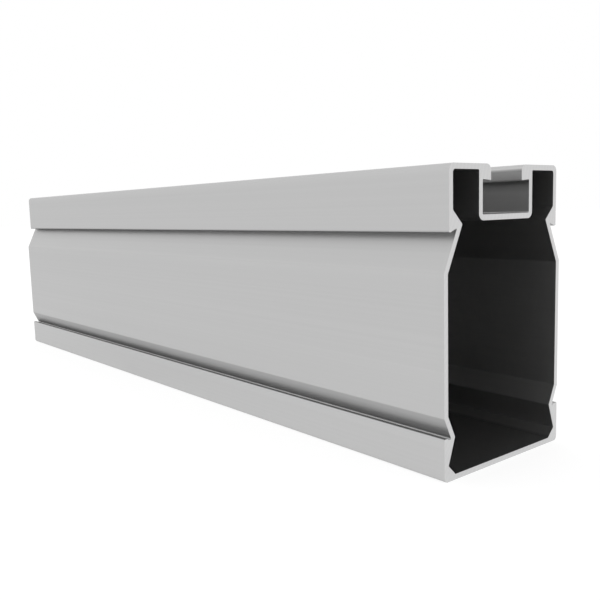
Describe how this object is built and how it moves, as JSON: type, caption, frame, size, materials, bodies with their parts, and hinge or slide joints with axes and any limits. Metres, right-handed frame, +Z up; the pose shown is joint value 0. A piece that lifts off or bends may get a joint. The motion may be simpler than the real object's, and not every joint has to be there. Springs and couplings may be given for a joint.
{
  "type": "solar mounting rail",
  "caption": "Hollow aluminium mounting rail with a slotted nut channel on top and an undercut hook groove along each edge of its side webs.",
  "frame": {"origin": "middle of the underside, halfway along the rail", "axes": "+X along the rail, +Y across it, +Z up through the slot of the nut channel"},
  "size_m": [0.24, 0.0414, 0.0654],
  "materials": {
    "rail": "mill-finish extrusion, satin, with faint die lines along its length and fine saw marks on the cut ends"
  },
  "bodies": {
    "root": {"rail": "rail"}
  },
  "joints": []
}
